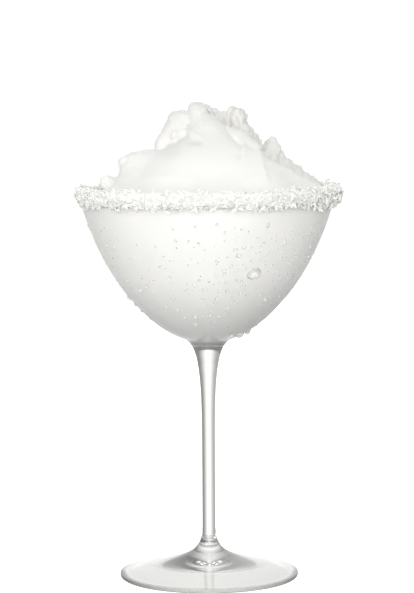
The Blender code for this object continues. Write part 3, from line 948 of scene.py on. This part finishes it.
class Tree:
    """A short way to build a material's nodes."""

    def __init__(self, tree):
        self.tree = tree

    @classmethod
    def of_material(cls, name):
        """The tree of a new material, with its Principled shader at hand."""
        material = bpy.data.materials.new(name)
        material.use_nodes = True
        tree = cls(material.node_tree)
        tree.material = material
        tree.shader = tree.tree.nodes["Principled BSDF"]
        tree.output = tree.tree.nodes["Material Output"]
        return tree

    def feed(self, socket, value):
        """Give a socket a value, or link an output to it."""
        if isinstance(value, bpy.types.NodeSocket):
            self.tree.links.new(value, socket)
        else:
            socket.default_value = value

    def node(self, kind, inputs=None, **settings):
        """A node with its settings, and its inputs as values or links."""
        node = self.tree.nodes.new(kind)
        for key, value in settings.items():
            setattr(node, key, value)
        for key, value in (inputs or {}).items():
            self.feed(node.inputs[key], value)
        return node

    def noise(self, place, scale, detail=3.0):
        """Noise from 0 to 1 over a place."""
        node = self.node(
            "ShaderNodeTexNoise", {"Vector": place, "Scale": scale, "Detail": detail}
        )
        return node.outputs["Fac"]

    def place(self):
        """The piece's own coordinates, in metres."""
        return self.node("ShaderNodeTexCoord").outputs["Object"]

    def range(self, value, low, high, to_low, to_high):
        """A value mapped from one range to another."""
        ends = {"From Min": low, "From Max": high, "To Min": to_low, "To Max": to_high}
        return self.node("ShaderNodeMapRange", {"Value": value, **ends}).outputs["Result"]

    def mix(self, share, first, second):
        """A blend of two colours."""
        node = self.node("ShaderNodeMix", data_type="RGBA")
        sockets = {socket.name: socket for socket in node.inputs if socket.enabled}
        for key, value in (("Factor", share), ("A", first), ("B", second)):
            self.feed(sockets[key], value)
        return next(socket for socket in node.outputs if socket.enabled)

    def math(self, operation, *values):
        """A Math node's result."""
        node = self.node("ShaderNodeMath", operation=operation)
        for socket, value in zip(node.inputs, values):
            self.feed(socket, value)
        return node.outputs[0]

    def product(self, first, *others):
        """The product of numbers."""
        for other in others:
            first = self.math("MULTIPLY", first, other)
        return first

    def vector(self, operation, first, second=None):
        """A Vector Math node, with one vector or two."""
        inputs = {0: first} if second is None else {0: first, 1: second}
        return self.node("ShaderNodeVectorMath", inputs, operation=operation)

    def bump(self, height, distance, strength=1.0, under=None):
        """A bump of a height over a distance in metres."""
        inputs = {"Height": height, "Distance": distance, "Strength": strength}
        if under is not None:
            inputs["Normal"] = under
        return self.node("ShaderNodeBump", inputs).outputs["Normal"]

    def set(self, **inputs):
        """The Principled shader's inputs, as values or links."""
        for key, value in inputs.items():
            self.feed(self.shader.inputs[key.replace("_", " ")], value)

    def let_lamps_through(self):
        """Clear to rays from lamps and from what is inside, so that light reaches it.

        It is clear to rays that have bounced often as well, which would otherwise end in black.
        """
        path = self.node("ShaderNodeLightPath").outputs
        share = self.math("MAXIMUM", path["Is Shadow Ray"], path["Is Diffuse Ray"])
        for count, limit in MOST_BOUNCES:
            share = self.math("MAXIMUM", share, self.math("GREATER_THAN", path[count], limit))
        clear = self.node("ShaderNodeBsdfTransparent").outputs[0]
        shaders = {0: share, 1: self.shader.outputs[0], 2: clear}
        mixed = self.node("ShaderNodeMixShader", shaders)
        self.feed(self.output.inputs["Surface"], mixed.outputs[0])


def painted_glass_shade(tree, place, height):
    """The glass's colour: white, with painted shade over the foot, at its edge and at the bowl's
    bottom.
    """
    across = tree.vector("MULTIPLY", place, (1.0, 1.0, 0.0)).outputs[0]
    radius = tree.vector("LENGTH", across).outputs["Value"]
    foot = tree.range(height, 0.010, 0.020, FOOT_SHADE, 1.0)
    edge = tree.range(radius, FOOT_RADIUS - 0.0020, FOOT_RADIUS - 0.0008, 1.0, EDGE_SHADE)
    edge = tree.math("MAXIMUM", edge, tree.range(height, 0.004, 0.006, 0.0, 1.0))
    bottom = tree.range(height, BOWL_FOOT_HEIGHT, BOWL_FOOT_HEIGHT + 0.030, BOTTOM_SHADE, 1.0)
    bottom = tree.math("MAXIMUM", bottom, tree.range(height, 0.108, 0.110, 1.0, 0.0))
    shade = tree.product(foot, edge, bottom)
    return tree.mix(shade, (0.0, 0.0, 0.0, 1.0), (1.0, 0.998, 0.988, 1.0))


def glass_material():
    """Clear glass, misted over on the bowl where the cold drink is."""
    tree = Tree.of_material("misted_glass")
    place = tree.place()
    height = tree.node("ShaderNodeSeparateXYZ", {0: place}).outputs["Z"]
    mist = tree.range(height, BOWL_FOOT_HEIGHT - 0.001, BOWL_FOOT_HEIGHT + 0.006, 0.0, 1.0)
    patch = tree.range(tree.noise(place, 90.0), 0.3, 0.7, 0.26, 0.44)
    beads = tree.product(mist, tree.noise(place, 1900.0, 2.0))
    tree.set(
        # The colour carries painted shade on the foot, its edge and the bowl's bottom.
        Base_Color=painted_glass_shade(tree, place, height),
        Roughness=tree.math("MAXIMUM", tree.product(mist, patch), 0.015),
        Transmission_Weight=1.0,
        IOR=1.5,
        Normal=tree.bump(beads, 0.0001, 0.5),
    )
    tree.let_lamps_through()
    return tree.material


def water_material():
    """Drops of condensation, with painted shade darkening their rims."""
    tree = Tree.of_material("condensation")
    grain = tree.noise(tree.place(), 400.0, 1.0)
    # Painted shade: the colour darkens towards the rims as they turn away, for the dark
    # reflections there.
    edge = tree.node("ShaderNodeLayerWeight", {"Blend": 0.35}).outputs["Facing"]
    tree.set(
        Base_Color=tree.mix(edge, (1.0, 1.0, 0.995, 1.0), (0.80, 0.80, 0.79, 1.0)),
        Roughness=tree.range(grain, 0.0, 1.0, 0.10, 0.28),
        Transmission_Weight=0.50,
        IOR=1.33,
    )
    tree.let_lamps_through()
    return tree.material


def slush_material():
    """Fine blended ice: white, softly translucent, grainy, with painted shade on the heap."""
    tree = Tree.of_material("slush_ice")
    place = tree.place()
    clouds = tree.range(tree.noise(place, 60.0), 0.35, 0.65, 0.0, 1.0)
    colour = tree.mix(clouds, (0.960, 0.958, 0.942, 1.0), (0.985, 0.983, 0.970, 1.0))
    # Painted shade: the heap turns towards this grey where it is marked, on its top, slab, back
    # and sides turned away.
    painted_shade = tree.node("ShaderNodeAttribute", attribute_name="painted_shade").outputs["Fac"]
    colour = tree.mix(painted_shade, colour, (0.660, 0.657, 0.636, 1.0))
    rough = tree.node("ShaderNodeAttribute", attribute_name="rough").outputs["Fac"]
    grain = tree.noise(place, 900.0, 4.0)
    fine = tree.noise(place, 3200.0, 2.0)
    crumbly = tree.range(rough, 0.0, 1.0, 0.07, 0.5)
    normal = tree.bump(fine, 0.0001, crumbly, tree.bump(grain, 0.0003, crumbly))
    tree.set(
        Base_Color=colour,
        Roughness=tree.range(grain, 0.3, 0.7, 0.38, 0.62),
        Subsurface_Weight=0.25,
        Subsurface_Radius=(0.0015, 0.0015, 0.0014),
        Subsurface_Scale=1.0,
        Specular_IOR_Level=0.35,
        Normal=normal,
    )
    return tree.material


def coconut_material():
    """Dry white coconut, each shred its own tone."""
    tree = Tree.of_material("coconut_flesh")
    place = tree.place()
    tone = tree.node("ShaderNodeAttribute", attribute_name="tone").outputs["Fac"]
    speck = tree.range(tree.noise(place, 700.0), 0.3, 0.7, 0.0, 1.0)
    shade = tree.math("MULTIPLY_ADD", tone, 0.6, tree.product(speck, 0.4))
    colour = tree.mix(shade, (0.900, 0.897, 0.876, 1.0), (0.975, 0.972, 0.955, 1.0))
    fibres = tree.noise(place, 2600.0, 3.0)
    tree.set(
        Base_Color=colour,
        Roughness=tree.range(fibres, 0.3, 0.7, 0.42, 0.7),
        Subsurface_Weight=0.08,
        Subsurface_Radius=(0.0005, 0.0005, 0.0005),
        Subsurface_Scale=1.0,
        Normal=tree.bump(fibres, 0.0001, 0.5),
    )
    return tree.material


# ---------------------------------------- stage


def make_floor():
    """A plain pale floor. Its light on the drink comes from the world's lower half instead."""
    tree = Tree.of_material("pale_floor")
    tree.set(
        Base_Color=(0.85, 0.85, 0.85, 1.0),
        Roughness=0.9,
        Emission_Color=(1.0, 1.0, 1.0, 1.0),
        Emission_Strength=0.75,
    )
    outline = [(0.0, -FLOOR_GAP), (FLOOR_RADIUS, -FLOOR_GAP)]
    points, faces = revolve(outline, 96, closed=False)
    faces = [face[::-1] for face in faces]
    floor = make_object("floor", points, faces, tree.material)
    floor.visible_diffuse = False
    floor.visible_glossy = False
    floor.visible_transmission = False
    floor.visible_shadow = False


def add_lobes(tree, light, lobes):
    """The light with lobes added, which fall off round their aim by a power of the cosine."""
    direction = tree.node("ShaderNodeTexCoord").outputs["Generated"]
    for towards, power, strength in lobes:
        aim = tuple(Vector(towards).normalized())
        facing = tree.vector("DOT_PRODUCT", direction, aim).outputs["Value"]
        round_aim = tree.math("POWER", tree.math("MAXIMUM", facing, 0.0), power)
        light = tree.math("MULTIPLY_ADD", round_aim, strength, light)
    return light


def light_on_glass(tree):
    """What glass shows and mirrors: the screen, the sides, the room in front and the shine."""
    direction = tree.node("ShaderNodeTexCoord").outputs["Generated"]
    level = tree.vector("MULTIPLY", direction, (1.0, 1.0, 0.0)).outputs[0]
    level = tree.vector("NORMALIZE", level).outputs[0]
    level = tree.node("ShaderNodeSeparateXYZ", {0: level}).outputs
    screen = tree.math("POWER", tree.math("MAXIMUM", level["Y"], 0.0), SCREEN_POWER)
    # The room's light is the square of how far a direction is to the front.
    room = tree.product(level["Y"], tree.math("MINIMUM", level["Y"], 0.0))
    bright = tree.math("ADD", screen, room)
    light = tree.math("MULTIPLY_ADD", bright, SCREEN_LIGHT, SIDE_LIGHT)
    light = tree.math("MULTIPLY_ADD", level["X"], -SIDE_TILT, light)
    return add_lobes(tree, light, SHINE_LOBES)


def make_world():
    """Soft studio light: what lights the drink, what shows through the glass, and white."""
    world = bpy.data.worlds.new("studio")
    world.use_nodes = True
    bpy.context.scene.world = world
    tree = Tree(world.node_tree)
    background = world.node_tree.nodes["Background"]
    background.inputs["Color"].default_value = LIGHT_COLOUR

    lighting = add_lobes(tree, 0.0, LIGHT_LOBES)
    difference = tree.math("SUBTRACT", light_on_glass(tree), lighting)
    path = tree.node("ShaderNodeLightPath").outputs
    on_glass = tree.math("MAXIMUM", path["Is Transmission Ray"], path["Is Glossy Ray"])
    strength = tree.math("MULTIPLY_ADD", difference, on_glass, lighting)
    white = tree.product(path["Is Camera Ray"], CAMERA_WHITE)
    tree.feed(background.inputs["Strength"], tree.math("MAXIMUM", strength, white))


def make_camera():
    """The camera at the fitted place, looking along +Y and a little down."""
    camera = bpy.data.cameras.new("camera")
    camera.lens = CAMERA_LENS
    camera.sensor_width = 36.0
    eye = bpy.data.objects.new("camera", camera)
    eye.location = (CAMERA_SIDE, -CAMERA_DISTANCE, CAMERA_HEIGHT)
    eye.rotation_mode = "ZYX"
    eye.rotation_euler = (math.pi / 2 - CAMERA_TILT, 0.0, CAMERA_ROLL)
    bpy.context.scene.collection.objects.link(eye)
    bpy.context.scene.camera = eye


def dress(piece, slot, *nodes):
    """Ride the piece on the one body and hide the solids it replaces."""
    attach(piece, "root")
    if nodes:
        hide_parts(*nodes)


make_camera()
make_world()
make_floor()
dress(make_glass(), "glass", "glass")
dress(make_slush(), "slush", "frozen_colada")
dress(make_bed(), "coconut", "coconut_rim")
dress(make_shreds(), "coconut", "coconut_rim")
dress(make_drops(), "glass")
bpy.context.scene.view_settings.view_transform = "Standard"
